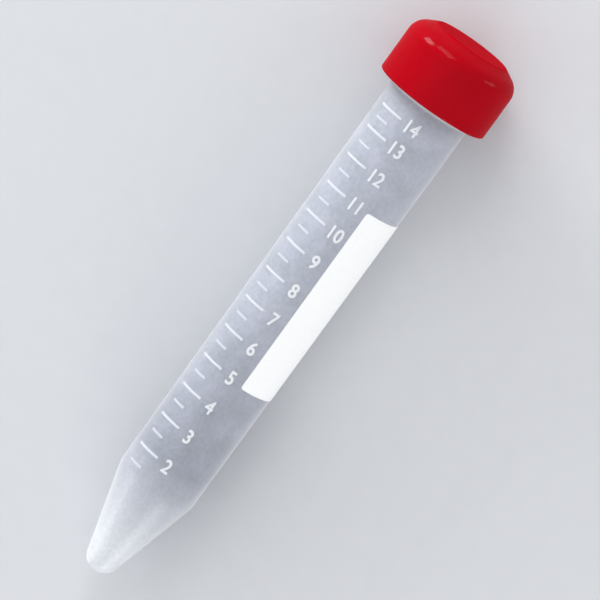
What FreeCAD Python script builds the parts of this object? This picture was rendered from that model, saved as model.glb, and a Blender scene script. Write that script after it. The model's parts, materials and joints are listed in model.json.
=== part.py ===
import FreeCAD, Part
import math
import os

# 15 ml conical tube with a screw cap, in millimetres.
#
# Every piece is drawn upright about its own axis: z = 0 at the tip, +Z towards the cap, -Y the
# printed front and +X the right-hand side of that front. At the end the whole tube is laid down
# as it comes to rest: tip towards -X, print upwards, touching the ground with the cone's shoulder
# and with the rim of the wider cap.

Vector = FreeCAD.Vector
UP = Vector(0, 0, 1)
AXIS_FOOT = Vector(0, 0, 0)

# ---- Driving dimensions ----------------------------------------------------------------------

# Tube: one moulding with an even wall. The body widens upwards by the draft of its mould.
wall = 1.0
tube_length = 115.2  # tip to mouth
cone_height = 19.75  # tip to the corner between cone and body, were it sharp
corner_radius = 7.82  # of the body at that corner
body_draft = 0.27  # degrees
tip_radius = 3.3
shoulder_rounding = 6.0  # rounds the corner
neck_step = 0.2  # the neck stands this much proud of the body
neck_showing = 0.6  # neck left bare below the cap's rim
mouth_chamfer = 0.25

# Thread: one right-hand ridge on the neck and its twin inside the cap.
thread_pitch = 3.0
thread_turns = 1.75
thread_height = 1.0
thread_root_width = 1.3
thread_crest_width = 0.6
thread_run_out = 50.0  # degrees over which each end of a ridge sinks into its wall
thread_below_mouth = 1.9  # mouth to the middle of the ridge's upper end
thread_clearance = 0.25  # from the crest of a ridge to the wall that it faces
flank_clearance = 0.15  # between the two flanks that pull the cap down

# Cap: one moulding with a bevelled shoulder.
cap_wall = 1.5
cap_top = 2.4
cap_skirt_below_thread = 2.3
cap_shoulder_height = 2.1
cap_shoulder_run = 3.75  # the flat top begins this far in from the side
cap_shoulder_rounding = 3.4
cap_rim_chamfer = 0.3
cap_mouth_chamfer = 0.5

# Liner: a seal disc that a bead inside the cap holds up.
liner_thickness = 0.8
liner_clearance = 0.1
bead_height = 0.3  # the bead stands this far in from the cap's bore
bead_length = 0.6

# Print: thin fields of ink on the body.
ink_thickness = 0.05
ink_clearance = 0.02  # from the wall to the inner face of the ink, so that the two never share a face
mark_width = 0.5
mark_step_ml = 0.5
long_marks_left_end = 58.5  # degrees round from the front, to the left
short_marks_left_end = 54.0
long_mark_sweep = 40.0
short_mark_sweep = 24.0
crowded_above_ml = 13  # the print is drawn together above this mark
crowding = 1.4  # for each millilitre above it, a mark stands this much lower than its volume does
bare_margin = 0.4  # wall left bare above the shoulder and below the neck
patch_near_edge = 16.5  # degrees round from the front, to the right
patch_arc = 15.0
patch_length = 39.4
patch_lowest_mark_ml = 5
patch_below_mark = 0.8

# Seam of every turned solid: at the back, just off the line that the part rests on.
seam_angle = 90.6  # degrees round from the right side

# ---- Sizes that follow from them -------------------------------------------------------------

draft = math.radians(body_draft)

# The cone's straight flank leaves the ball of the tip as a tangent and meets the corner.
corner_distance = math.hypot(corner_radius, cone_height - tip_radius)
cone_angle = math.atan2(corner_radius, cone_height - tip_radius) - math.asin(tip_radius / corner_distance)

thread_end_z = tube_length - thread_below_mouth
thread_start_z = thread_end_z - thread_pitch * thread_turns
cap_rim_z = thread_start_z - cap_skirt_below_thread
cap_ceiling_z = tube_length + liner_thickness
cap_top_z = cap_ceiling_z + cap_top
neck_z = cap_rim_z - neck_showing


def body_radius(z):
    return corner_radius + (z - cone_height) * math.tan(draft)


def bore_radius(z):
    return body_radius(z) - wall / math.cos(draft)


neck_radius = body_radius(neck_z) + neck_step
cap_bore_radius = neck_radius + thread_height + thread_clearance
cap_radius = cap_bore_radius + cap_wall
flank_slope = (thread_root_width - thread_crest_width) / 2 / thread_height
ridge_spacing = thread_root_width - flank_slope * (cap_bore_radius - neck_radius) + flank_clearance


# ---- Profiles and threads --------------------------------------------------------------------


def at(radius, z):
    """A point in the plane that a profile is drawn in."""
    return Vector(radius, 0, z)


def polar(centre, radius, below_level):
    """The point of a profile arc that lies this many radians below its centre's level."""
    return centre + at(radius * math.cos(below_level), -radius * math.sin(below_level))


def slope(start, end):
    """A straight edge for a drafted wall, drawn as a spline so that its facets run the wall's length."""
    straight = Part.BSplineCurve()
    straight.buildFromPoles([start, end])
    return straight


def revolve(edges):
    """The solid that a closed profile makes in one turn about the axis, with its seam at the back."""
    profile = Part.Face(Part.Wire([edge.toShape() for edge in edges]))
    profile.rotate(AXIS_FOOT, UP, seam_angle)
    return profile.revolve(AXIS_FOOT, UP, 360)


def rounded_outline(corners):
    """Straight edges from corner to corner. Each corner is (radius, z, rounding)."""
    points = [at(radius, z) for radius, z, rounding in corners]
    arcs = []
    for i, corner in enumerate(points):
        rounding = corners[i][2]
        back = (points[i - 1] - corner).normalize()
        onward = (points[(i + 1) % len(points)] - corner).normalize()
        half_angle = back.getAngle(onward) / 2
        cut_back = rounding / math.tan(half_angle)
        to_middle = rounding / math.sin(half_angle) - rounding
        middle = corner + (back + onward).normalize() * to_middle
        arcs.append((corner + back * cut_back, middle, corner + onward * cut_back))
    edges = []
    for i, (start, middle, end) in enumerate(arcs):
        edges.append(Part.LineSegment(arcs[i - 1][2], start))
        if corners[i][2]:
            edges.append(Part.Arc(start, middle, end))
    return edges


def shoulder_centre():
    """The centre of the arc that rounds the corner between the cone and the body."""
    half_turn = (cone_angle - draft) / 2
    return polar(
        at(corner_radius, cone_height), -shoulder_rounding / math.cos(half_turn), (cone_angle + draft) / 2
    )


def tube_skin(inset):
    """The solid inside the outer skin moved inwards by inset, up to the mouth."""
    ball = at(0, tip_radius)
    ball_radius = tip_radius - inset
    shoulder = shoulder_centre()
    rounding = shoulder_rounding - inset
    foot = at(0, inset)
    flank_foot = polar(ball, ball_radius, cone_angle)
    flank_top = polar(shoulder, rounding, cone_angle)
    body_foot = polar(shoulder, rounding, draft)
    body_top = at(body_radius(tube_length) - inset / math.cos(draft), tube_length)
    return revolve([
        Part.Arc(foot, polar(ball, ball_radius, (cone_angle + math.pi / 2) / 2), flank_foot),
        Part.LineSegment(flank_foot, flank_top),
        Part.Arc(flank_top, polar(shoulder, rounding, (cone_angle + draft) / 2), body_foot),
        slope(body_foot, body_top),
        Part.LineSegment(body_top, at(0, tube_length)),
        Part.LineSegment(at(0, tube_length), foot),
    ])


def thread_ridge(wall_radius, start_z, outward):
    """A helical ridge on a round wall, with ends that sink into it. outward is 1 or -1."""
    sink = thread_height / 4  # the ridge's foot goes this far into the wall
    full_turn = 2 * math.pi
    angle_end = full_turn * thread_turns
    run_out = math.radians(thread_run_out)

    def foot_radius(angle):
        from_end = min(angle, angle_end - angle, run_out)
        sunk = 1 - math.sin(math.pi / 2 * from_end / run_out)
        return wall_radius - outward * sunk * (thread_height + sink / 2)

    def path_point(angle):
        radius = foot_radius(angle)
        rise = thread_pitch * angle / full_turn
        return Vector(radius * math.cos(angle), radius * math.sin(angle), start_z + rise)

    steps = math.ceil(16 * thread_turns)
    path = Part.BSplineCurve()
    path.interpolate([path_point(angle_end * step / steps) for step in range(steps + 1)])

    inner = foot_radius(0) - outward * sink
    outer = foot_radius(0) + outward * thread_height
    half_root = thread_root_width / 2 + flank_slope * sink
    half_crest = thread_crest_width / 2
    corners = [
        at(inner, start_z - half_root),
        at(outer, start_z - half_crest),
        at(outer, start_z + half_crest),
        at(inner, start_z + half_root),
    ]
    sweep = Part.BRepOffsetAPI.MakePipeShell(Part.Wire(path.toShape()))
    sweep.setBiNormalMode(UP)
    sweep.add(Part.makePolygon(corners + corners[:1]), False, False)
    sweep.build()
    sweep.makeSolid()
    return sweep.shape()


# ---- Pieces ----------------------------------------------------------------------------------


def make_tube():
    neck = revolve(rounded_outline([
        (0, neck_z, 0),
        (neck_radius, neck_z, 0),
        (neck_radius, tube_length - mouth_chamfer, 0),
        (neck_radius - mouth_chamfer, tube_length, 0),
        (0, tube_length, 0),
    ]))
    ridge = thread_ridge(neck_radius, thread_start_z, 1)
    outside = tube_skin(0).fuse([neck, ridge])
    mouth_radius = bore_radius(tube_length)
    mouth_z = tube_length - mouth_chamfer
    mouth = Part.makeCone(mouth_radius - mouth_chamfer, mouth_radius + mouth_chamfer,
                          2 * mouth_chamfer, at(0, mouth_z - mouth_chamfer))
    return outside.cut([tube_skin(wall), mouth])


def make_cap():
    """The cap is its outer form less a core that carries the thread and the liner's bead."""
    outside = revolve(rounded_outline([
        (0, cap_rim_z, 0),
        (cap_radius - cap_rim_chamfer, cap_rim_z, 0),
        (cap_radius, cap_rim_z + cap_rim_chamfer, 0),
        (cap_radius, cap_top_z - cap_shoulder_height, cap_shoulder_rounding),
        (cap_radius - cap_shoulder_run, cap_top_z, 0),
        (0, cap_top_z, 0),
    ]))
    bead_radius = cap_bore_radius - bead_height
    bead_z = tube_length - bead_length
    core = revolve(rounded_outline([
        (0, cap_rim_z, 0),
        (cap_bore_radius + cap_mouth_chamfer, cap_rim_z, 0),
        (cap_bore_radius, cap_rim_z + cap_mouth_chamfer, 0),
        (cap_bore_radius, bead_z - bead_height, 0),  # the underside slopes, so the liner snaps in
        (bead_radius, bead_z, 0),
        (bead_radius, tube_length, 0),
        (cap_bore_radius, tube_length, 0),
        (cap_bore_radius, cap_ceiling_z, 0),
        (0, cap_ceiling_z, 0),
    ]))
    ridge = thread_ridge(cap_bore_radius, thread_start_z - ridge_spacing, -1)
    return outside.cut(core.cut(ridge))


def make_liner():
    return Part.makeCylinder(cap_bore_radius - liner_clearance, liner_thickness, at(0, tube_length))


def ink_field(bottom_z, length, first_angle, sweep):
    """A field of ink on the body. Angles are degrees round from the front, right being positive."""
    foot = at(body_radius(bottom_z) + ink_clearance, bottom_z)
    head = at(body_radius(bottom_z + length) + ink_clearance, bottom_z + length)
    thickness = at(ink_thickness, 0)
    edges = [
        Part.LineSegment(foot, foot + thickness),
        slope(foot + thickness, head + thickness),
        Part.LineSegment(head + thickness, head),
        slope(head, foot),
    ]
    profile = Part.Face(Part.Wire([edge.toShape() for edge in edges]))
    front_angle = -90
    profile.rotate(AXIS_FOOT, UP, front_angle + first_angle)
    return profile.revolve(AXIS_FOOT, UP, sweep)


# The bore is a frustum, and what is missing from a full tube is the part of it above the liquid.
brim_volume = tube_skin(wall).Volume
brim_cubed = bore_radius(tube_length) ** 3


def fill_height(millilitres):
    """How high above the tip that much liquid stands, once it has filled the cone."""
    missing = brim_volume - millilitres * 1000
    surface_radius = (brim_cubed - 3 * missing * math.tan(draft) / math.pi) ** (1 / 3)
    return tube_length - (bore_radius(tube_length) - surface_radius) / math.tan(draft)


def fill_millilitres(z):
    """How much liquid stands that high above the tip, in the body."""
    missing = math.pi * (brim_cubed - bore_radius(z) ** 3) / math.tan(draft) / 3
    return (brim_volume - missing) / 1000


def mark_height(millilitres):
    """The height of the middle of a mark."""
    return fill_height(millilitres) - crowding * max(0, millilitres - crowded_above_ml)


def make_marks():
    """A long mark at each millilitre and a short one between, wherever the straight body is bare."""
    body_foot_z = polar(shoulder_centre(), shoulder_rounding, draft).z
    first = math.ceil(fill_millilitres(body_foot_z + bare_margin) / mark_step_ml)
    last = math.floor(fill_millilitres(neck_z - bare_margin) / mark_step_ml)
    marks = []
    for step in range(first, last + 1):
        millilitres = step * mark_step_ml
        left_end, sweep = short_marks_left_end, short_mark_sweep
        if millilitres.is_integer():
            left_end, sweep = long_marks_left_end, long_mark_sweep
        bottom_z = mark_height(millilitres) - mark_width / 2
        marks.append(ink_field(bottom_z, mark_width, -left_end, sweep))
    return Part.makeCompound(marks)


def make_patch():
    bottom_z = fill_height(patch_lowest_mark_ml) - patch_below_mark
    sweep = math.degrees(patch_arc / body_radius(bottom_z))
    return ink_field(bottom_z, patch_length, patch_near_edge, sweep)


# ---- Resting place ---------------------------------------------------------------------------


def resting_place():
    """Lays the tube on its side, on its rounded shoulder and on the edge at the rim of the cap."""
    shoulder = shoulder_centre()
    rim = at(cap_radius, cap_rim_z + cap_rim_chamfer)
    between = rim - shoulder
    # The ground touches the shoulder's rounding on its way to the rim's edge.
    tilt = math.atan2(between.x, between.z) - math.asin(shoulder_rounding / between.Length)
    height = shoulder.x * math.cos(tilt) - shoulder.z * math.sin(tilt) + shoulder_rounding

    # The origin lies below the middle of the length, from the ball of the tip to the cap's top edge.
    top_edge = at(cap_radius - cap_shoulder_run, cap_top_z)
    tip_end = tip_radius * math.cos(tilt) - tip_radius
    cap_end = top_edge.z * math.cos(tilt) + top_edge.x * math.sin(tilt)
    along = Vector(math.cos(tilt), 0, math.sin(tilt))
    front = Vector(-math.sin(tilt), 0, math.cos(tilt))
    turn = FreeCAD.Rotation(Vector(0, -1, 0), front * -1, along, "ZXY")
    return FreeCAD.Placement(Vector(-(tip_end + cap_end) / 2, 0, height), turn)


pieces = {
    "tube": make_tube(),
    "screw_cap": make_cap(),
    "cap_liner": make_liner(),
    "graduation_marks": make_marks(),
    "write_on_patch": make_patch(),
}
place = resting_place()
os.makedirs("parts", exist_ok=True)
for name, shape in pieces.items():
    shape.Placement = place.multiply(shape.Placement)
    shape.exportStep(f"parts/{name}.step")
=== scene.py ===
import json
import math

import bmesh
import bpy
from mathutils import Matrix, Vector


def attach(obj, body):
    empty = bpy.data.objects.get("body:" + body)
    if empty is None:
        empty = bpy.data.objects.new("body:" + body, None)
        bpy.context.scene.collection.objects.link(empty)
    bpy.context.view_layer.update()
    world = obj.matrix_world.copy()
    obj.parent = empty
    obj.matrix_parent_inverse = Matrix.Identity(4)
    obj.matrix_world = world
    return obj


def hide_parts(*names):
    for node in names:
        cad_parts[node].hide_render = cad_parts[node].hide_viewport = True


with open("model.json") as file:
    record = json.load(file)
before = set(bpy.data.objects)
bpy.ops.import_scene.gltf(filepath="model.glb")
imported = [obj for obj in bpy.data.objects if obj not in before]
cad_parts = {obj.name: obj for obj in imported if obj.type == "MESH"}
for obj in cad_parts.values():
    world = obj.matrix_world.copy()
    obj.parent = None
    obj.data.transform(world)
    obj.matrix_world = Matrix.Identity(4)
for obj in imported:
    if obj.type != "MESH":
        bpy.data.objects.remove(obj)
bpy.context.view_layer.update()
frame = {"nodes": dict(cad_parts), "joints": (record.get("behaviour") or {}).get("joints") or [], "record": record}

# A 15 ml conical tube with its screw cap on, lying on a table.
# The pieces are drawn upright in millimetres: z from the tip up to the cap, -Y the printed front and
# +X its right. layDown then puts each one where the tube lies in the frame, in metres.

mm = 0.001
weldGap = 0.002  # mm: points of a shell nearer than this become one
scene = bpy.context.scene
scene.view_settings.view_transform = "Standard"

capTurn = next(joint for joint in frame["joints"] if joint["name"] == "cap_turn")
tubeAxis = Vector(capTurn["axis"]).normalized()
axisPoint = Vector(capTurn["pos_m"])
tipDistance = min((v.co - axisPoint).dot(tubeAxis) for v in frame["nodes"]["tube"].data.vertices)
tipPoint = axisPoint + tubeAxis * tipDistance
printRight = Vector((0, -1, 0))
printBack = tubeAxis.cross(printRight)
layDown = Matrix.Translation(tipPoint) @ Matrix((printRight, printBack, tubeAxis)).transposed().to_4x4()
layDown = layDown @ Matrix.Scale(mm, 4)

ridesOn = {node: body for body, nodes in frame["record"]["behaviour"]["bodies"].items() for node in nodes}
print("frame loaded, tube", round(-tipDistance / mm, 2), "mm below the cap's joint")


def linear(hexColour):
    # an sRGB hex colour as the linear values that a shader takes
    channels = [int(hexColour[i:i + 2], 16) / 255 for i in (1, 3, 5)]
    return [c / 12.92 if c < 0.04045 else ((c + 0.055) / 1.055) ** 2.4 for c in channels] + [1]


def addNode(tree, kind, inputs=None, ramp=None, **settings):
    # adds a node, with its settings, and fills its inputs with values or links
    node = tree.nodes.new(kind)
    for name, value in settings.items():
        setattr(node, name, value)
    for i, (place, colour) in enumerate(ramp or []):
        stops = node.color_ramp.elements
        stop = stops[i] if i < len(stops) else stops.new(place)
        stop.position = place
        stop.color = linear(colour)
    for socket, value in (inputs or {}).items():
        several = isinstance(value, list) and isinstance(value[0], bpy.types.Node)
        for source in value if several else [value]:
            if isinstance(source, bpy.types.Node):
                source = source.outputs[0]
            if isinstance(source, bpy.types.NodeSocket):
                tree.links.new(source, node.inputs[socket])
            else:
                node.inputs[socket].default_value = source
    return node


def newMaterial(name):
    material = bpy.data.materials.new(name)
    material.use_nodes = True
    material.node_tree.nodes.clear()
    return material, material.node_tree


def newGrowth(name, sizes):
    # a Geometry Nodes tree with one named input for each size
    tree = bpy.data.node_groups.new(name, "GeometryNodeTree")
    tree.interface.new_socket("Mesh", in_out="OUTPUT", socket_type="NodeSocketGeometry")
    for label, value in sizes.items():
        kind = "NodeSocketInt" if isinstance(value, int) else "NodeSocketFloat"
        if isinstance(value, bpy.types.Material):
            kind = "NodeSocketMaterial"
        tree.interface.new_socket(label, in_out="INPUT", socket_type=kind)
    return tree, addNode(tree, "NodeGroupInput").outputs


def grow(tree, sizes):
    # runs the tree once with these sizes, and gives back a plain mesh
    seed = bpy.data.objects.new(tree.name, bpy.data.meshes.new(tree.name))
    scene.collection.objects.link(seed)
    modifier = seed.modifiers.new(tree.name, "NODES")
    modifier.node_group = tree
    for item in tree.interface.items_tree:
        if item.in_out == "INPUT":
            modifier[item.identifier] = sizes[item.name]
    bpy.context.view_layer.update()
    mesh = bpy.data.meshes.new_from_object(seed.evaluated_get(bpy.context.evaluated_depsgraph_get()))
    seed.modifiers.remove(modifier)
    bpy.data.objects.remove(seed)
    return mesh


def finishPiece(name, mesh, material, slot, body, *nodes):
    # a finished piece: laid down, with its material, riding on its body. fromTip, mm above the tip,
    # lets a material change along the tube.
    mesh.name = name
    fromTip = mesh.attributes.new("fromTip", "FLOAT", "POINT")
    fromTip.data.foreach_set("value", [v.co.z for v in mesh.vertices])
    mesh.transform(layDown)
    mesh.materials.clear()
    mesh.materials.append(material)
    mesh.update()
    piece = bpy.data.objects.new(name, mesh)
    scene.collection.objects.link(piece)
    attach(piece, body)
    if nodes:
        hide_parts(*nodes)
    print(name, len(mesh.polygons), "faces")


def arc(centre, radius, start, end, steps):
    # points on an arc of a profile, between two angles in degrees up from the +radius side
    turns = [math.radians(start + (end - start) * i / steps) for i in range(steps + 1)]
    return [(centre[0] + radius * math.cos(turn), centre[1] + radius * math.sin(turn)) for turn in turns]


def roundCorners(corners, steps=6):
    # an open profile through corners (radius, height, rounding)
    points = []
    for i, (r, z, rounding) in enumerate(corners):
        here = Vector((r, z))
        if not rounding:
            points.append((r, z))
            continue
        back = (Vector(corners[i - 1][:2]) - here).normalized()
        onward = (Vector(corners[i + 1][:2]) - here).normalized()
        halfAngle = back.angle(onward) / 2
        centre = here + (back + onward).normalized() * (rounding / math.sin(halfAngle))
        first = here + back * (rounding / math.tan(halfAngle)) - centre
        last = here + onward * (rounding / math.tan(halfAngle)) - centre
        for step in range(steps + 1):
            ray = first.normalized().slerp(last.normalized(), step / steps)
            points.append(tuple(centre + ray * first.length))
    return points


def spin(shell, profile, columns):
    # turns a profile of (radius, height) about the axis; a point on the axis becomes a pole
    rings = []
    for r, z in profile:
        count = columns if r > 1e-6 else 1
        turns = [2 * math.pi * i / columns for i in range(count)]
        rings.append([shell.verts.new((r * math.cos(turn), r * math.sin(turn), z)) for turn in turns])
    for low, high in zip(rings, rings[1:]):
        for i in range(columns):
            around = ((low, i), (low, i + 1), (high, i + 1), (high, i))
            corners = [ring[place % len(ring)] for ring, place in around]
            shell.faces.new(dict.fromkeys(corners))  # a pole counts once


def closeShell(shell, name):
    # welds the bands of a shell, turns its faces outwards and shades it smooth
    bmesh.ops.remove_doubles(shell, verts=shell.verts, dist=weldGap)
    bmesh.ops.dissolve_degenerate(shell, dist=weldGap / 4, edges=shell.edges)
    bmesh.ops.recalc_face_normals(shell, faces=shell.faces)
    for face in shell.faces:
        face.smooth = True
    print(name, "open edges:", sum(len(edge.link_faces) != 2 for edge in shell.edges))
    mesh = bpy.data.meshes.new(name)
    shell.to_mesh(mesh)
    shell.free()
    return mesh


tubeLook = {
    "cloud": 5.0,  # mm across, as the next two are
    "mottle": 0.7,
    "frost": 0.35,
    "cloudStops": (0.31, 0.5, 0.69),
    "lowWall": ("#99a0a9", "#a3a8b4", "#adb0be"),  # the colours at those stops
    "highWall": ("#abb2ba", "#b5bac6", "#bfc2cf"),
    "lowWallTop": 25.0,  # mm above the tip, as all heights are
    "highWallFoot": 62.0,
    # painted light, in part: the cone's pale colour, which also stands for the milk of its closing walls
    "cone": "#e8ecf1",
    "coneTop": 26.0,
    "coneFull": 6.0,
    # painted highlight: the neck's pale colour stands for the light line under the cap's rim
    "neck": "#d3d7e0",
    "neckFoot": 104.7,
    "neckFull": 105.3,
    "bore": "#f1f3f7",
    "mottleContrast": 0.06,
    "gloss": (0.34, 0.5),  # roughness, from the smoothest spot to the roughest
}


def frostedPolypropylene(look):
    # natural polypropylene from a blasted mould: milky grey, lilac in the wall, with painted light on the pale
    # cone and neck, a fine frost that spreads the gloss and cloudy patches where the melt cooled unevenly
    material, tree = newMaterial("frostedPolypropylene")
    place = addNode(tree, "ShaderNodeTexCoord").outputs["Object"]
    fromTip = addNode(tree, "ShaderNodeAttribute", attribute_name="fromTip").outputs["Fac"]
    cloud = addNode(tree, "ShaderNodeTexNoise", {
        "Vector": place, "Scale": 1 / (look["cloud"] * mm), "Detail": 4.0, "Roughness": 0.6})
    low = addNode(tree, "ShaderNodeValToRGB", {0: cloud}, ramp=zip(look["cloudStops"], look["lowWall"]))
    high = addNode(tree, "ShaderNodeValToRGB", {0: cloud}, ramp=zip(look["cloudStops"], look["highWall"]))
    # the wall's colour goes from the darker low ramp near the shoulder to the lighter high ramp from the middle of
    # the body up
    upBody = addNode(tree, "ShaderNodeMapRange", {
        "Value": fromTip, "From Min": look["lowWallTop"], "From Max": look["highWallFoot"]})
    wallTone = addNode(tree, "ShaderNodeMix", {0: upBody, 6: low, 7: high}, data_type="RGBA").outputs[2]
    # painted light, in part: the cone is painted paler towards the tip, partly for the milk of walls that close in
    # behind each other, partly for the light the cone catches
    inCone = addNode(tree, "ShaderNodeMapRange", {
        "Value": fromTip, "From Min": look["coneTop"], "From Max": look["coneFull"]})
    wallAndLitCone = addNode(tree, "ShaderNodeMix", {
        0: inCone, 6: wallTone, 7: linear(look["cone"])}, data_type="RGBA").outputs[2]
    # painted highlight: the neck is painted pale, for the light line that shows just under the cap's rim
    inNeck = addNode(tree, "ShaderNodeMapRange", {
        "Value": fromTip, "From Min": look["neckFoot"], "From Max": look["neckFull"]})
    toneWithLitNeck = addNode(tree, "ShaderNodeMix", {
        0: inNeck, 6: wallAndLitCone, 7: linear(look["neck"])}, data_type="RGBA").outputs[2]
    # light comes through the wall from all round, so the bore looks pale through the mouth
    inBore = addNode(tree, "ShaderNodeAttribute", attribute_name="bore").outputs["Fac"]
    tone = addNode(tree, "ShaderNodeMix", {
        0: inBore, 6: toneWithLitNeck, 7: linear(look["bore"])}, data_type="RGBA").outputs[2]
    # the blasted mould leaves a fine mottle, paler where the skin is rougher
    mottle = addNode(tree, "ShaderNodeTexNoise", {
        "Vector": place, "Scale": 1 / (look["mottle"] * mm), "Detail": 2.0})
    shade = addNode(tree, "ShaderNodeMapRange", {
        "Value": mottle, "From Min": 0.3, "From Max": 0.7,
        "To Min": 1 - look["mottleContrast"], "To Max": 1 + look["mottleContrast"]})
    mottled = addNode(tree, "ShaderNodeHueSaturation", {"Value": shade, "Color": tone})
    # frost is about 0.05 mm across; drawn at 0.35 mm so that it shows
    frost = addNode(tree, "ShaderNodeTexNoise", {
        "Vector": place, "Scale": 1 / (look["frost"] * mm), "Detail": 2.0})
    gloss = addNode(tree, "ShaderNodeMapRange", {
        "Value": frost, "To Min": look["gloss"][0], "To Max": look["gloss"][1]})
    grain = addNode(tree, "ShaderNodeBump", {"Height": frost, "Strength": 0.12, "Distance": 0.05 * mm})
    shader = addNode(tree, "ShaderNodeBsdfPrincipled", {
        "Base Color": mottled, "Roughness": gloss, "Normal": grain, "IOR": 1.49,
        "Subsurface Weight": 0.25, "Subsurface Scale": 1.5 * mm, "Subsurface Radius": (1, 1, 1.1),
        "Coat Weight": 0.35, "Coat Roughness": 0.25, "Coat IOR": 1.45,
        "Sheen Weight": 1.0, "Sheen Roughness": 0.4, "Transmission Weight": 0.2})
    addNode(tree, "ShaderNodeOutputMaterial", {0: shader})
    return material


capLook = {
    "reds": ("#a0000f", "#ad0014"),
    "swirl": 6.0,  # mm across, as the next one is
    "wave": 1.8,
    "gloss": (0.26, 0.36),
    "sidePolish": 0.15,
    "topPolish": 0.04,
    "sideTop": 118.0,  # mm above the tip
    "topFoot": 118.38,
}


def redPolypropylene(look):
    # red polypropylene from a polished mould: deep, even, glossy, with the slight waviness of a moulding
    material, tree = newMaterial("redPolypropylene")
    place = addNode(tree, "ShaderNodeTexCoord").outputs["Object"]
    swirl = addNode(tree, "ShaderNodeTexNoise", {
        "Vector": place, "Scale": 1 / (look["swirl"] * mm), "Detail": 2.0})
    red = addNode(tree, "ShaderNodeValToRGB", {0: swirl}, ramp=zip((0, 1), look["reds"]))
    wave = addNode(tree, "ShaderNodeTexNoise", {
        "Vector": place, "Scale": 1 / (look["wave"] * mm), "Detail": 1.0})
    skin = addNode(tree, "ShaderNodeBump", {"Height": wave, "Strength": 0.15, "Distance": 0.04 * mm})
    gloss = addNode(tree, "ShaderNodeMapRange", {
        "Value": wave, "To Min": look["gloss"][0], "To Max": look["gloss"][1]})
    # the side and the bevel are polished, the flat top a little less
    fromTip = addNode(tree, "ShaderNodeAttribute", attribute_name="fromTip").outputs["Fac"]
    polish = addNode(tree, "ShaderNodeMapRange", {
        "Value": fromTip, "From Min": look["sideTop"], "From Max": look["topFoot"],
        "To Min": look["sidePolish"], "To Max": look["topPolish"]})
    shader = addNode(tree, "ShaderNodeBsdfPrincipled", {
        "Base Color": red, "Roughness": gloss, "Normal": skin, "IOR": 1.49, "Specular IOR Level": 0.0,
        "Coat Weight": polish, "Coat Roughness": 0.12, "Coat IOR": 1.49,
        "Subsurface Weight": 0.08, "Subsurface Scale": 0.8 * mm, "Subsurface Radius": (1, 0.2, 0.1)})
    addNode(tree, "ShaderNodeOutputMaterial", {0: shader})
    return material


inkLook = {
    "whites": ("#eff1f3", "#f9fbfa", "#fcfdfc"),
    "whiteStops": (0, 0.45, 1),
    "behind": "#b0b5c1",  # the wall's colour, which shows through thin ink
    "weave": 0.4,  # mm
    "gloss": (0.5, 0.7),
}


def screenInk(look):
    # white screen ink: flat and chalky, a little uneven where the mesh of the screen let less through
    material, tree = newMaterial("whiteScreenInk")
    place = addNode(tree, "ShaderNodeTexCoord").outputs["Object"]
    # a screen of 0.2 mm, drawn at 0.4 mm so that it shows
    weave = addNode(tree, "ShaderNodeTexNoise", {
        "Vector": place, "Scale": 1 / (look["weave"] * mm), "Detail": 3.0})
    white = addNode(tree, "ShaderNodeValToRGB", {0: weave}, ramp=zip(look["whiteStops"], look["whites"]))
    thin = addNode(tree, "ShaderNodeAttribute", attribute_name="thinness").outputs["Fac"]
    layer = addNode(tree, "ShaderNodeMix", {
        0: thin, 6: white, 7: linear(look["behind"])}, data_type="RGBA").outputs[2]
    gloss = addNode(tree, "ShaderNodeMapRange", {
        "Value": weave, "To Min": look["gloss"][0], "To Max": look["gloss"][1]})
    skin = addNode(tree, "ShaderNodeBump", {"Height": weave, "Strength": 0.2, "Distance": 0.02 * mm})
    shader = addNode(tree, "ShaderNodeBsdfPrincipled", {
        "Base Color": layer, "Roughness": gloss, "Normal": skin, "IOR": 1.5})
    addNode(tree, "ShaderNodeOutputMaterial", {0: shader})
    return material


foamLook = {
    "tones": ("#e9e7e0", "#f6f4ee"),
    "cell": 0.45,  # mm
}


def polyethyleneFoam(look):
    # polyethylene foam sheet: soft, matt and off-white, with a skin of fine closed cells
    material, tree = newMaterial("polyethyleneFoam")
    place = addNode(tree, "ShaderNodeTexCoord").outputs["Object"]
    cells = addNode(tree, "ShaderNodeTexVoronoi", {"Vector": place, "Scale": 1 / (look["cell"] * mm)})
    tone = addNode(tree, "ShaderNodeValToRGB", {0: cells}, ramp=zip((0, 1), look["tones"]))
    skin = addNode(tree, "ShaderNodeBump", {"Height": cells, "Strength": 0.4, "Distance": 0.05 * mm})
    shader = addNode(tree, "ShaderNodeBsdfPrincipled", {
        "Base Color": tone, "Roughness": 0.75, "Normal": skin, "IOR": 1.5})
    addNode(tree, "ShaderNodeOutputMaterial", {0: shader})
    return material


tubePlastic = frostedPolypropylene(tubeLook)
capPlastic = redPolypropylene(capLook)
ink = screenInk(inkLook)
foam = polyethyleneFoam(foamLook)
print("materials made")


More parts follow.
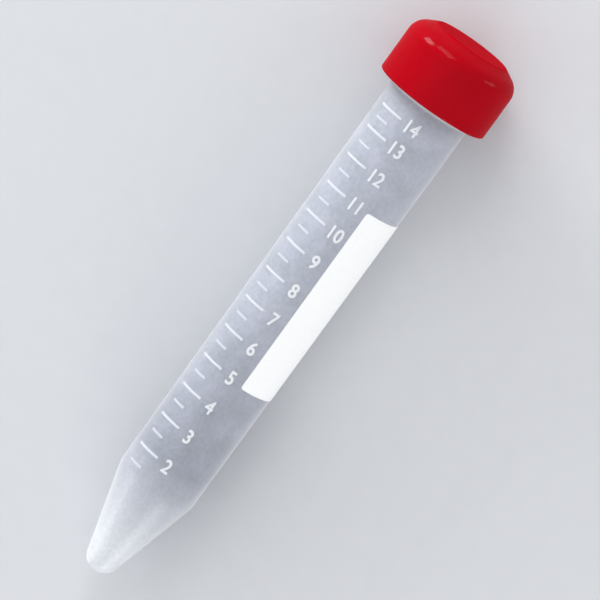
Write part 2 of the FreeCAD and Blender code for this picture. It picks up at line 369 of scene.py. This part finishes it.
def threadBand(sizes):
    # A round wall with one helical ridge. The rows run along the helix, so the ridge keeps clean
    # flanks. Rows past the band's ends are pressed flat onto its rims and welded away.
    tree, size = newGrowth("threadBand", sizes)
    turns = addNode(tree, "ShaderNodeMath", {
        0: size["Turns Below"], 1: size["Turns Above"]}, operation="ADD")
    rows = addNode(tree, "ShaderNodeMath", {
        0: turns, 1: size["Rows per Turn"], 2: 1.0}, operation="MULTIPLY_ADD")
    columns = addNode(tree, "ShaderNodeMath", {0: size["Columns"], 1: 1.0}, operation="ADD")
    sheet = addNode(tree, "GeometryNodeMeshGrid", {
        "Size X": 1.0, "Size Y": turns, "Vertices X": columns, "Vertices Y": rows})
    place = addNode(tree, "GeometryNodeInputPosition")
    split = addNode(tree, "ShaderNodeSeparateXYZ", {0: place})
    around = addNode(tree, "ShaderNodeMath", {0: split.outputs["X"], 1: 0.5}, operation="ADD")
    # row, counted in turns of the thread from its lower end
    middle = addNode(tree, "ShaderNodeMath", {
        0: turns, 1: 0.5, 2: split.outputs["Y"]}, operation="MULTIPLY_ADD")
    row = addNode(tree, "ShaderNodeMath", {0: middle, 1: size["Turns Below"]}, operation="SUBTRACT")
    nearest = addNode(tree, "ShaderNodeMath", {0: row}, operation="ROUND")
    aside = addNode(tree, "ShaderNodeMath", {0: row, 1: nearest}, operation="SUBTRACT")
    distance = addNode(tree, "ShaderNodeMath", {0: aside, 1: size["Pitch"]}, operation="MULTIPLY")
    fromRidge = addNode(tree, "ShaderNodeMath", {0: distance}, operation="ABSOLUTE")
    # the ridge's section, with soft corners as a mould leaves them
    halfRoot = addNode(tree, "ShaderNodeMath", {0: size["Root Width"], 1: 0.5}, operation="MULTIPLY")
    halfCrest = addNode(tree, "ShaderNodeMath", {0: size["Crest Width"], 1: 0.5}, operation="MULTIPLY")
    section = addNode(tree, "ShaderNodeMapRange", {
        "Value": fromRidge, "From Min": halfRoot, "From Max": halfCrest, "To Min": 0.0,
        "To Max": size["Ridge Height"]}, interpolation_type="SMOOTHSTEP")
    # each end of the ridge sinks into the wall
    along = addNode(tree, "ShaderNodeMath", {0: nearest, 1: around}, operation="ADD")
    toGo = addNode(tree, "ShaderNodeMath", {0: size["Ridge Turns"], 1: along}, operation="SUBTRACT")
    fromEnd = addNode(tree, "ShaderNodeMath", {0: along, 1: toGo}, operation="MINIMUM")
    rising = addNode(tree, "ShaderNodeMapRange", {
        "Value": fromEnd, "From Max": size["Run Out Turns"], "To Max": math.pi / 2})
    risen = addNode(tree, "ShaderNodeMath", {0: rising}, operation="SINE")
    missing = addNode(tree, "ShaderNodeMath", {0: 1.0, 1: risen}, operation="SUBTRACT")
    sunk = addNode(tree, "ShaderNodeMath", {0: missing, 1: size["Ridge Height"]}, operation="MULTIPLY")
    proud = addNode(tree, "ShaderNodeMath", {0: section, 1: sunk}, operation="SUBTRACT")
    relief = addNode(tree, "ShaderNodeMath", {0: proud, 1: 0.0}, operation="MAXIMUM")
    radius = addNode(tree, "ShaderNodeMath", {
        0: relief, 1: size["Outward"], 2: size["Wall Radius"]}, operation="MULTIPLY_ADD")
    climbed = addNode(tree, "ShaderNodeMath", {0: row, 1: around}, operation="ADD")
    free = addNode(tree, "ShaderNodeMath", {
        0: climbed, 1: size["Pitch"], 2: size["Ridge Start"]}, operation="MULTIPLY_ADD")
    height = addNode(tree, "ShaderNodeClamp", {"Value": free, "Min": size["Bottom"], "Max": size["Top"]})
    angle = addNode(tree, "ShaderNodeMath", {0: around, 1: 2 * math.pi}, operation="MULTIPLY")
    cosine = addNode(tree, "ShaderNodeMath", {0: angle}, operation="COSINE")
    sine = addNode(tree, "ShaderNodeMath", {0: angle}, operation="SINE")
    x = addNode(tree, "ShaderNodeMath", {0: radius, 1: cosine}, operation="MULTIPLY")
    y = addNode(tree, "ShaderNodeMath", {0: radius, 1: sine}, operation="MULTIPLY")
    wrapped = addNode(tree, "ShaderNodeCombineXYZ", {0: x, 1: y, 2: height})
    band = addNode(tree, "GeometryNodeSetPosition", {"Geometry": sheet, "Position": wrapped})
    welded = addNode(tree, "GeometryNodeMergeByDistance", {"Geometry": band, "Distance": weldGap})
    real = addNode(tree, "GeometryNodeRealizeInstances", {"Geometry": welded})
    done = addNode(tree, "GeometryNodeSetMaterial", {"Geometry": real, "Material": size["Plastic"]})
    addNode(tree, "NodeGroupOutput", {0: done})
    return tree

tubeSizes = {
    "wall": 1.0,  # mm, as every length here
    "length": 115.2,  # from the tip to the mouth
    "coneHeight": 19.75,
    "cornerRadius": 7.82,
    "draft": 0.27,  # degrees
    "tipRadius": 3.3,
    "tipSteps": 14,
    "shoulderRounding": 6.0,
    "shoulderSteps": 8,
    "ringGap": 0.6,  # the first straight ring past a rounding, which keeps the shading tight
    "middleRing": 60,
    "neckStep": 0.2,
    "neckHeight": 105.15,
    "stepLead": 0.3,  # below the step
    "stepFootRounding": 0.06,
    "stepRounding": 0.12,
    "lipRounding": 0.3,
    "mouthRing": 1.5,  # below the mouth
    "boreMargin": 0.1,  # beyond the bore's radius, and still the bore's skin
    "columns": 128,
}

draftSlope = math.tan(math.radians(tubeSizes["draft"]))


def bodyRadius(z):
    return tubeSizes["cornerRadius"] + (z - tubeSizes["coneHeight"]) * draftSlope


def boreRadius(z):
    return bodyRadius(z) - tubeSizes["wall"] / math.cos(math.radians(tubeSizes["draft"]))


def tubeProfile(inset):
    # the outer skin moved inwards, from the tip to the top of the shoulder's rounding
    corner = tubeSizes["cornerRadius"]
    ball = tubeSizes["tipRadius"]
    rounding = tubeSizes["shoulderRounding"]
    rise = tubeSizes["coneHeight"] - ball
    slant = math.hypot(corner, rise)
    cone = math.degrees(math.atan2(corner, rise) - math.asin(ball / slant))
    halfTurn = math.radians((cone - tubeSizes["draft"]) / 2)
    reach = rounding / math.cos(halfTurn)
    lean = math.radians((cone + tubeSizes["draft"]) / 2)
    centre = (corner - reach * math.cos(lean), tubeSizes["coneHeight"] + reach * math.sin(lean))
    tip = arc((0, ball), ball - inset, -90, -cone, tubeSizes["tipSteps"])
    tip[0] = (0, inset)
    shoulder = arc(centre, rounding - inset, -cone, -tubeSizes["draft"], tubeSizes["shoulderSteps"])
    return tip + shoulder


neckRadius = bodyRadius(tubeSizes["neckHeight"]) + tubeSizes["neckStep"]
mouthRadius = boreRadius(tubeSizes["length"])

neckThread = {
    "Wall Radius": neckRadius,
    "Outward": 1.0,
    "Pitch": 3.0,
    "Ridge Start": 108.05,
    "Ridge Turns": 1.75,
    "Ridge Height": 1.0,
    "Root Width": 1.3,
    "Crest Width": 0.6,
    "Run Out Turns": 50 / 360,  # over which each end sinks into the wall
    "Bottom": 106.4,
    "Top": 114.6,
    "Turns Below": 2,
    "Turns Above": 3,
    "Rows per Turn": 30,
    "Columns": tubeSizes["columns"],
    "Plastic": tubePlastic,
}
threadTree = threadBand(neckThread)

# the tube is one closed shell: outer skin, thread, lip and bore
outerSkin = tubeProfile(0)
innerSkin = tubeProfile(tubeSizes["wall"])
straightFoot = outerSkin[-1][1]
stepFoot = tubeSizes["neckHeight"]
for z in (straightFoot + tubeSizes["ringGap"], tubeSizes["middleRing"], stepFoot - tubeSizes["ringGap"]):
    outerSkin.append((bodyRadius(z), z))
outerSkin += roundCorners([
    (bodyRadius(stepFoot - tubeSizes["stepLead"]), stepFoot - tubeSizes["stepLead"], 0),
    (bodyRadius(stepFoot), stepFoot, tubeSizes["stepFootRounding"]),
    (neckRadius, stepFoot, tubeSizes["stepRounding"]),
    (neckRadius, neckThread["Bottom"], 0),
])
lip = roundCorners([
    (neckRadius, neckThread["Top"], 0),
    (neckRadius, tubeSizes["length"], tubeSizes["lipRounding"]),
    (mouthRadius, tubeSizes["length"], tubeSizes["lipRounding"]),
    (boreRadius(neckThread["Top"]), neckThread["Top"], 0),
])
for z in (straightFoot + tubeSizes["ringGap"], tubeSizes["middleRing"],
          tubeSizes["length"] - tubeSizes["mouthRing"]):
    innerSkin.append((boreRadius(z), z))

tubeShell = bmesh.new()
spin(tubeShell, outerSkin, tubeSizes["columns"])
spin(tubeShell, lip + innerSkin[::-1], tubeSizes["columns"])
tubeShell.from_mesh(grow(threadTree, neckThread))
tubeMesh = closeShell(tubeShell, "conicalTube")
# marks the bore's skin for the material
bore = tubeMesh.attributes.new("bore", "FLOAT", "POINT")
margin = tubeSizes["boreMargin"]
bore.data.foreach_set("value", [
    float(v.co.z > straightFoot and math.hypot(v.co.x, v.co.y) < boreRadius(v.co.z) + margin)
    for v in tubeMesh.vertices])
finishPiece("conicalTube", tubeMesh, tubePlastic, "frosted_polypropylene", ridesOn["tube"], "tube")

# the cap is one closed shell too, with the same thread turned inwards, clear of the tube's flanks
capSizes = {
    "rimHeight": 105.75,  # mm above the tip, as the next two are
    "topHeight": 118.4,
    "ceilingHeight": 116.0,
    "boreClearance": 0.25,
    "flankClearance": 0.15,
    "wall": 1.5,
    "shoulderHeight": 2.1,
    "shoulderRun": 3.75,
    "shoulderRounding": 3.4,
    "topRounding": 0.8,
    "topRing": 6.2,  # the radius of a ring on the flat top, which keeps its shading flat
    "rimRounding": 0.4,
    "mouthChamfer": 0.5,
    "threadTop": 113.6,
    "beadHeight": 0.3,
    "beadLength": 0.6,
    "beadRounding": 0.1,
    "seatRounding": 0.05,
    "ceilingRounding": 0.15,
    "ceilingRing": 8,
    "outsideSteps": 10,
    "insideSteps": 3,
}

capBore = neckRadius + neckThread["Ridge Height"] + capSizes["boreClearance"]
capRadius = capBore + capSizes["wall"]
flankSlope = (neckThread["Root Width"] - neckThread["Crest Width"]) / 2 / neckThread["Ridge Height"]
ridgeSpacing = neckThread["Root Width"] - flankSlope * (capBore - neckRadius) + capSizes["flankClearance"]
capThread = dict(neckThread)
capThread.update({
    "Wall Radius": capBore,
    "Outward": -1.0,
    "Ridge Start": neckThread["Ridge Start"] - ridgeSpacing,
    "Bottom": capSizes["rimHeight"] + capSizes["mouthChamfer"],
    "Top": capSizes["threadTop"],
    "Plastic": capPlastic,
})
rim = capSizes["rimHeight"]
capTop = capSizes["topHeight"]
capOutside = roundCorners([
    (capBore + capSizes["mouthChamfer"], rim, 0),
    (capRadius, rim, capSizes["rimRounding"]),
    (capRadius, capTop - capSizes["shoulderHeight"], capSizes["shoulderRounding"]),
    (capRadius - capSizes["shoulderRun"], capTop, capSizes["topRounding"]),
    (capSizes["topRing"], capTop, 0),
    (0, capTop, 0),
], capSizes["outsideSteps"])
beadRadius = capBore - capSizes["beadHeight"]
beadFoot = tubeSizes["length"] - capSizes["beadLength"]
capInside = roundCorners([
    (capBore, capThread["Top"], 0),
    (capBore, beadFoot - capSizes["beadHeight"], capSizes["beadRounding"]),
    (beadRadius, beadFoot, capSizes["beadRounding"]),
    (beadRadius, tubeSizes["length"], capSizes["seatRounding"]),
    (capBore, tubeSizes["length"], capSizes["seatRounding"]),
    (capBore, capSizes["ceilingHeight"], capSizes["ceilingRounding"]),
    (capSizes["ceilingRing"], capSizes["ceilingHeight"], 0),
    (0, capSizes["ceilingHeight"], 0),
], capSizes["insideSteps"])
capShell = bmesh.new()
spin(capShell, [(capBore, rim + capSizes["mouthChamfer"])] + capOutside, tubeSizes["columns"])
spin(capShell, capInside, tubeSizes["columns"])
capShell.from_mesh(grow(threadTree, capThread))
capMesh = closeShell(capShell, "screwCap")
finishPiece("screwCap", capMesh, capPlastic, "red_moulded_cap", ridesOn["screw_cap"], "screw_cap")

# the liner is the solid as it is, in foam
liner = frame["nodes"]["cap_liner"]
liner.data.materials.clear()
liner.data.materials.append(foam)

printSizes = {
    "thickness": 0.05,  # mm, as every length here
    "firstNumber": 2,
    "lastNumber": 14,
    "digitHeight": 2.6,
    "digitWidth": 0.84,  # of the face's own width: the numbers are narrow
    "digitThinness": 0.4,  # how much of the wall shows through the ink
    "digitWeight": 0.09,  # each stroke grows by this on both sides: the ink spreads
    "numbersMiddle": -0.2,  # mm round from the front, right being positive
    "numbersLower": 0.2,  # mm below the middle of their mark
    "stripe": 0.5,  # the width of the facets that bend a flat print round the body
    "patchNearEdge": 16.5,  # degrees round from the front
    "patchArc": 15.0,
    "patchLength": 39.4,
    "patchMark": 5,  # the patch's foot stands by this mark
    "patchBelowMark": 0.8,
    "patchCorner": 0.5,
    "patchThinness": 0.0,
    "cornerSteps": 5,
}

brimVolume = 0  # of the bore, in cubic millimetres
for (r1, z1), (r2, z2) in zip(innerSkin, innerSkin[1:] + [(mouthRadius, tubeSizes["length"])]):
    brimVolume += math.pi / 3 * (r1 * r1 + r1 * r2 + r2 * r2) * (z2 - z1)

markSizes = {
    "Marks": 26,
    "First Volume": 1.5,
    "Volume Step": 0.5,
    "Mark Width": 0.5,
    "Long Left End": -58.5,  # degrees round from the front
    "Long Sweep": 40.0,
    "Short Left End": -54.0,
    "Short Sweep": 24.0,
    "Long Thinness": 0.7,  # how much of the wall shows through the ink
    "Short Thinness": 0.83,
    "Crowded Above": 13.0,
    "Crowding": 1.4,  # mm lower for each millilitre above that mark
    "Ink Thickness": printSizes["thickness"],
    "Brim Volume": brimVolume / 1000,
    "Brim Radius": mouthRadius,
    "Tube Length": tubeSizes["length"],
    "Draft Slope": draftSlope,
    "Corner Radius": tubeSizes["cornerRadius"],
    "Cone Height": tubeSizes["coneHeight"],
    "Ink": ink,
}


def fillHeight(millilitres):
    # how high that much liquid stands above the tip
    missing = brimVolume - millilitres * 1000
    surface = (mouthRadius ** 3 - 3 * missing * draftSlope / math.pi) ** (1 / 3)
    return tubeSizes["length"] - (mouthRadius - surface) / draftSlope


def markHeight(millilitres):
    crowded = max(0, millilitres - markSizes["Crowded Above"])
    return fillHeight(millilitres) - crowded * markSizes["Crowding"]


def scaleOfMarks(sizes):
    # One mark for each step of volume, where the bore fills to it, then wrapped onto the drafted body.
    # Flat, a mark's x is degrees round from the front and its y is the height above the tip.
    tree, size = newGrowth("scaleOfMarks", sizes)
    index = addNode(tree, "GeometryNodeInputIndex")
    volume = addNode(tree, "ShaderNodeMath", {
        0: index, 1: size["Volume Step"], 2: size["First Volume"]}, operation="MULTIPLY_ADD")
    # The straight bore is part of a cone, so the volume left above a mark is a difference of cubed
    # radii. A millilitre is 1000 cubic millimetres.
    missing = addNode(tree, "ShaderNodeMath", {0: size["Brim Volume"], 1: volume}, operation="SUBTRACT")
    perSlope = addNode(tree, "ShaderNodeMath", {0: missing, 1: size["Draft Slope"]}, operation="MULTIPLY")
    lostCube = addNode(tree, "ShaderNodeMath", {0: perSlope, 1: 3000 / math.pi}, operation="MULTIPLY")
    brimCube = addNode(tree, "ShaderNodeMath", {0: size["Brim Radius"], 1: 3.0}, operation="POWER")
    leftCube = addNode(tree, "ShaderNodeMath", {0: brimCube, 1: lostCube}, operation="SUBTRACT")
    surface = addNode(tree, "ShaderNodeMath", {0: leftCube, 1: 1 / 3}, operation="POWER")
    narrower = addNode(tree, "ShaderNodeMath", {0: size["Brim Radius"], 1: surface}, operation="SUBTRACT")
    below = addNode(tree, "ShaderNodeMath", {0: narrower, 1: size["Draft Slope"]}, operation="DIVIDE")
    level = addNode(tree, "ShaderNodeMath", {0: size["Tube Length"], 1: below}, operation="SUBTRACT")
    past = addNode(tree, "ShaderNodeMath", {0: volume, 1: size["Crowded Above"]}, operation="SUBTRACT")
    crowded = addNode(tree, "ShaderNodeMath", {0: past, 1: 0.0}, operation="MAXIMUM")
    lowered = addNode(tree, "ShaderNodeMath", {0: crowded, 1: size["Crowding"]}, operation="MULTIPLY")
    printed = addNode(tree, "ShaderNodeMath", {0: level, 1: lowered}, operation="SUBTRACT")
    # whole millilitres get the long mark
    part = addNode(tree, "ShaderNodeMath", {0: volume}, operation="FRACT")
    isHalf = addNode(tree, "ShaderNodeMath", {0: part, 1: 0.5, 2: 0.1}, operation="COMPARE")
    leftEnd = addNode(tree, "ShaderNodeMapRange", {
        "Value": isHalf, "To Min": size["Long Left End"], "To Max": size["Short Left End"]})
    sweep = addNode(tree, "ShaderNodeMapRange", {
        "Value": isHalf, "To Min": size["Long Sweep"], "To Max": size["Short Sweep"]})
    thinness = addNode(tree, "ShaderNodeMapRange", {
        "Value": isHalf, "To Min": size["Long Thinness"], "To Max": size["Short Thinness"]})
    start = addNode(tree, "ShaderNodeCombineXYZ", {0: leftEnd, 1: printed})
    bare = addNode(tree, "GeometryNodePoints", {"Count": size["Marks"], "Position": start})
    points = addNode(tree, "GeometryNodeStoreNamedAttribute", {
        "Geometry": bare, "Name": "thinness", "Value": thinness}, data_type="FLOAT", domain="POINT")
    stretch = addNode(tree, "ShaderNodeCombineXYZ", {0: sweep, 1: size["Mark Width"], 2: 1.0})
    unit = addNode(tree, "GeometryNodeMeshGrid", {
        "Size X": 1.0, "Size Y": 1.0, "Vertices X": 13, "Vertices Y": 2})
    strip = addNode(tree, "GeometryNodeTransform", {"Geometry": unit, "Translation": (0.5, 0, 0)})
    marks = addNode(tree, "GeometryNodeInstanceOnPoints", {
        "Points": points, "Instance": strip, "Scale": stretch})
    flat = addNode(tree, "GeometryNodeRealizeInstances", {"Geometry": marks})
    raised = addNode(tree, "GeometryNodeExtrudeMesh", {
        "Mesh": flat, "Offset Scale": size["Ink Thickness"], "Individual": False})
    under = addNode(tree, "GeometryNodeFlipFaces", {"Mesh": flat})
    both = addNode(tree, "GeometryNodeJoinGeometry", {0: [raised, under]})
    solid = addNode(tree, "GeometryNodeMergeByDistance", {"Geometry": both, "Distance": 0.001})
    place = addNode(tree, "GeometryNodeInputPosition")
    split = addNode(tree, "ShaderNodeSeparateXYZ", {0: place})
    rise = addNode(tree, "ShaderNodeMath", {
        0: split.outputs["Y"], 1: size["Cone Height"]}, operation="SUBTRACT")
    skin = addNode(tree, "ShaderNodeMath", {
        0: rise, 1: size["Draft Slope"], 2: size["Corner Radius"]}, operation="MULTIPLY_ADD")
    radius = addNode(tree, "ShaderNodeMath", {0: skin, 1: split.outputs["Z"]}, operation="ADD")
    turned = addNode(tree, "ShaderNodeMath", {0: split.outputs["X"], 1: 90.0}, operation="SUBTRACT")
    angle = addNode(tree, "ShaderNodeMath", {0: turned}, operation="RADIANS")
    cosine = addNode(tree, "ShaderNodeMath", {0: angle}, operation="COSINE")
    sine = addNode(tree, "ShaderNodeMath", {0: angle}, operation="SINE")
    x = addNode(tree, "ShaderNodeMath", {0: radius, 1: cosine}, operation="MULTIPLY")
    y = addNode(tree, "ShaderNodeMath", {0: radius, 1: sine}, operation="MULTIPLY")
    wrapped = addNode(tree, "ShaderNodeCombineXYZ", {0: x, 1: y, 2: split.outputs["Y"]})
    around = addNode(tree, "GeometryNodeSetPosition", {"Geometry": solid, "Position": wrapped})
    real = addNode(tree, "GeometryNodeRealizeInstances", {"Geometry": around})
    done = addNode(tree, "GeometryNodeSetMaterial", {"Geometry": real, "Material": size["Ink"]})
    addNode(tree, "NodeGroupOutput", {0: done})
    return tree


marks = grow(scaleOfMarks(markSizes), markSizes)
finishPiece("graduationMarks", marks, ink, "white_ink", ridesOn["graduation_marks"], "graduation_marks")


def spreadInk(flat, weight):
    # every edge of a flat print moves outward by the same amount
    outward = {}
    for edge in flat.edges:
        if edge.is_boundary:
            ends = [v.co for v in edge.verts]
            side = (ends[1] - ends[0]).cross(Vector((0, 0, 1))).normalized()
            if side.dot(edge.link_faces[0].calc_center_median() - ends[0]) > 0:
                side.negate()
            for v in edge.verts:
                outward[v] = outward.get(v, Vector()) + side
    for v, side in outward.items():
        v.co += side.normalized() * weight


def wrapPrint(flat, name, thinness):
    # A flat print, x in mm round from the front and y the height, cut into narrow stripes, given the
    # ink's thickness and laid round the body.
    stripe = printSizes["stripe"]
    reach = [v.co.x for v in flat.verts]
    for i in range(1, int((max(reach) - min(reach)) / stripe) + 1):
        bmesh.ops.bisect_plane(flat, geom=flat.verts[:] + flat.edges[:] + flat.faces[:], dist=1e-5,
                               plane_co=(min(reach) + i * stripe, 0, 0), plane_no=(1, 0, 0))
    bmesh.ops.dissolve_degenerate(flat, dist=1e-4, edges=flat.edges[:])
    under = flat.faces[:]
    raised = bmesh.ops.extrude_face_region(flat, geom=under, use_keep_orig=True)
    top = [v for v in raised["geom"] if isinstance(v, bmesh.types.BMVert)]
    bmesh.ops.translate(flat, verts=top, vec=(0, 0, printSizes["thickness"]))
    for v in flat.verts:
        skin = bodyRadius(v.co.y)
        angle = v.co.x / skin - math.pi / 2
        radius = skin + v.co.z
        v.co = (radius * math.cos(angle), radius * math.sin(angle), v.co.y)
    bmesh.ops.recalc_face_normals(flat, faces=flat.faces)
    mesh = bpy.data.meshes.new(name)
    flat.to_mesh(mesh)
    flat.free()
    layer = mesh.attributes.new("thinness", "FLOAT", "POINT")
    layer.data.foreach_set("value", [thinness] * len(mesh.vertices))
    return mesh


def letterMesh(words):
    # digits in the plain built-in face, as a flat mesh
    curve = bpy.data.curves.new("number", "FONT")
    curve.body = words
    curve.align_x = "CENTER"
    curve.resolution_u = 6
    holder = bpy.data.objects.new("number", curve)
    scene.collection.objects.link(holder)
    bpy.context.view_layer.update()
    shown = holder.evaluated_get(bpy.context.evaluated_depsgraph_get())
    mesh = bpy.data.meshes.new_from_object(shown)
    bpy.data.objects.remove(holder)
    return mesh


tall = [v.co.y for v in letterMesh("8").vertices]
faceScale = printSizes["digitHeight"] / (max(tall) - min(tall))
numbers = bmesh.new()
for millilitres in range(printSizes["firstNumber"], printSizes["lastNumber"] + 1):
    digits = letterMesh(str(millilitres))
    across = Matrix.Diagonal((faceScale * printSizes["digitWidth"], faceScale, faceScale, 1))
    foot = markHeight(millilitres) - printSizes["numbersLower"] - printSizes["digitHeight"] / 2
    foot -= min(tall) * faceScale
    digits.transform(Matrix.Translation((printSizes["numbersMiddle"], foot, 0)) @ across)
    numbers.from_mesh(digits)
bmesh.ops.remove_doubles(numbers, verts=numbers.verts, dist=1e-4)
spreadInk(numbers, printSizes["digitWeight"])
numbersMesh = wrapPrint(numbers, "volumeNumbers", printSizes["digitThinness"])
finishPiece("volumeNumbers", numbersMesh, ink, "white_ink", ridesOn["graduation_marks"])

patchFoot = fillHeight(printSizes["patchMark"]) - printSizes["patchBelowMark"]
patchLeft = math.radians(printSizes["patchNearEdge"]) * bodyRadius(patchFoot)
patchRight = patchLeft + printSizes["patchArc"]
patchHead = patchFoot + printSizes["patchLength"]
patch = bmesh.new()
outline = []
for x, y, turn in ((patchRight, patchHead, 0), (patchLeft, patchHead, 90), (patchLeft, patchFoot, 180),
                   (patchRight, patchFoot, 270)):
    inX = x - printSizes["patchCorner"] * (1 if turn in (0, 270) else -1)
    inY = y - printSizes["patchCorner"] * (1 if turn in (0, 90) else -1)
    outline += arc((inX, inY), printSizes["patchCorner"], turn, turn + 90, printSizes["cornerSteps"])
patch.faces.new([patch.verts.new((x, y, 0)) for x, y in outline])
patchMesh = wrapPrint(patch, "writeOnPatch", printSizes["patchThinness"])
finishPiece("writeOnPatch", patchMesh, ink, "white_ink", ridesOn["write_on_patch"], "write_on_patch")

floorLook = {
    "reach": 4,  # metres each way
    "papers": ("#cfd1d4", "#d3d5d8"),
    "fibre": 4.0,  # mm
}
reach = floorLook["reach"]
floorMesh = bpy.data.meshes.new("table")
floorMesh.from_pydata([(-reach, -reach, 0), (reach, -reach, 0), (reach, reach, 0), (-reach, reach, 0)], [],
                      [(0, 1, 2, 3)])
table = bpy.data.objects.new("table", floorMesh)
scene.collection.objects.link(table)
# matt paper, all but even
tablePaper, paperTree = newMaterial("backgroundPaper")
paperPlace = addNode(paperTree, "ShaderNodeTexCoord").outputs["Object"]
fibre = addNode(paperTree, "ShaderNodeTexNoise", {
    "Vector": paperPlace, "Scale": 1 / (floorLook["fibre"] * mm), "Detail": 2.0})
tone = addNode(paperTree, "ShaderNodeValToRGB", {0: fibre}, ramp=zip((0, 1), floorLook["papers"]))
paper = addNode(paperTree, "ShaderNodeBsdfPrincipled", {"Base Color": tone, "Roughness": 0.9})
addNode(paperTree, "ShaderNodeOutputMaterial", {0: paper})
floorMesh.materials.append(tablePaper)
print("table laid")

roomLight = {"colour": "#f7f8fb", "strength": 0.73}
world = bpy.data.worlds.new("room")
scene.world = world
world.use_nodes = True
world.node_tree.nodes.clear()
sky = addNode(world.node_tree, "ShaderNodeBackground", {
    "Color": linear(roomLight["colour"]), "Strength": roomLight["strength"]})
addNode(world.node_tree, "ShaderNodeOutputWorld", {0: sky})

shot = {
    "aim": 60.0,  # mm up the tube's axis
    "asideRight": 2.8,  # mm
    "asideUp": 1.15,
    "distance": 1147.0,
    "aboveAcross": 10.12,  # degrees that the camera stands towards the cap from square on
    "axisSlope": 54.14,  # degrees that the tube's axis climbs to the right in the view
    "lens": 381.9,
    "sensor": 36,
    "clipStart": 0.05,  # metres
    "clipEnd": 20,
}
towardCap = Vector((tubeAxis.x, 0, tubeAxis.z))
squareOn = Vector((-tubeAxis.z, 0, tubeAxis.x))
lift = math.radians(shot["aboveAcross"])
toCamera = (squareOn * math.cos(lift) + towardCap * math.sin(lift)).normalized()
axisInView = (towardCap - toCamera * towardCap.dot(toCamera)).normalized()
acrossInView = toCamera.cross(axisInView)
slope = math.radians(shot["axisSlope"])
viewRight = axisInView * math.cos(slope) - acrossInView * math.sin(slope)
viewUp = axisInView * math.sin(slope) + acrossInView * math.cos(slope)
aim = layDown @ Vector((0, 0, shot["aim"]))
aim = aim + (viewRight * shot["asideRight"] + viewUp * shot["asideUp"]) * mm
camera = bpy.data.objects.new("camera", bpy.data.cameras.new("camera"))
scene.collection.objects.link(camera)
camera.data.lens = shot["lens"]
camera.data.sensor_width = shot["sensor"]
camera.data.clip_start = shot["clipStart"]
camera.data.clip_end = shot["clipEnd"]
seat = Matrix((viewRight, viewUp, toCamera)).transposed().to_4x4()
camera.matrix_world = Matrix.Translation(aim + toCamera * shot["distance"] * mm) @ seat
scene.camera = camera


def softbox(name, direction, distance, width, height, watts, colour):
    # A softbox that faces the tube: its width lies across the tube, its height along it. The direction
    # is across, towards the marks' side, then along, towards the cap, then up.
    data = bpy.data.lights.new(name, "AREA")
    data.shape = "RECTANGLE"
    data.size = width
    data.size_y = height
    data.energy = watts
    data.color = linear(colour)[:3]
    lamp = bpy.data.objects.new(name, data)
    scene.collection.objects.link(lamp)
    across, along, up = direction
    away = Vector((along, across, up)).normalized()
    side = away.cross(Vector((1, 0, 0))).normalized()
    seat = Matrix((side, away.cross(side), away)).transposed().to_4x4()
    lamp.matrix_world = Matrix.Translation(aim + away * distance) @ seat


# direction, then metres away, width, height, watts and colour
softbox("keySoftbox", (0.45, 0.7, 0.52), 1.2, 0.7, 0.45, 4.7, "#ffffff")
softbox("skySoftbox", (0.1, -0.3, 1.0), 1.4, 2.4, 2.4, 2.4, "#ffffff")
softbox("leftSoftbox", (0.9, 0.5, 0.12), 0.9, 0.4, 0.3, 6.5, "#fdfdff")
softbox("tipSoftbox", (0.8, -0.6, 0.16), 0.7, 0.3, 0.3, 0.8, "#fbfcff")
softbox("rightSoftbox", (-0.7, -1.1, 0.25), 0.8, 0.4, 0.4, 2.45, "#fdfdff")
softbox("capStroke", (-0.8, 0.58, 0.14), 0.6, 0.3, 0.1, 0.5, "#fff6f6")
print("lamps and camera placed")
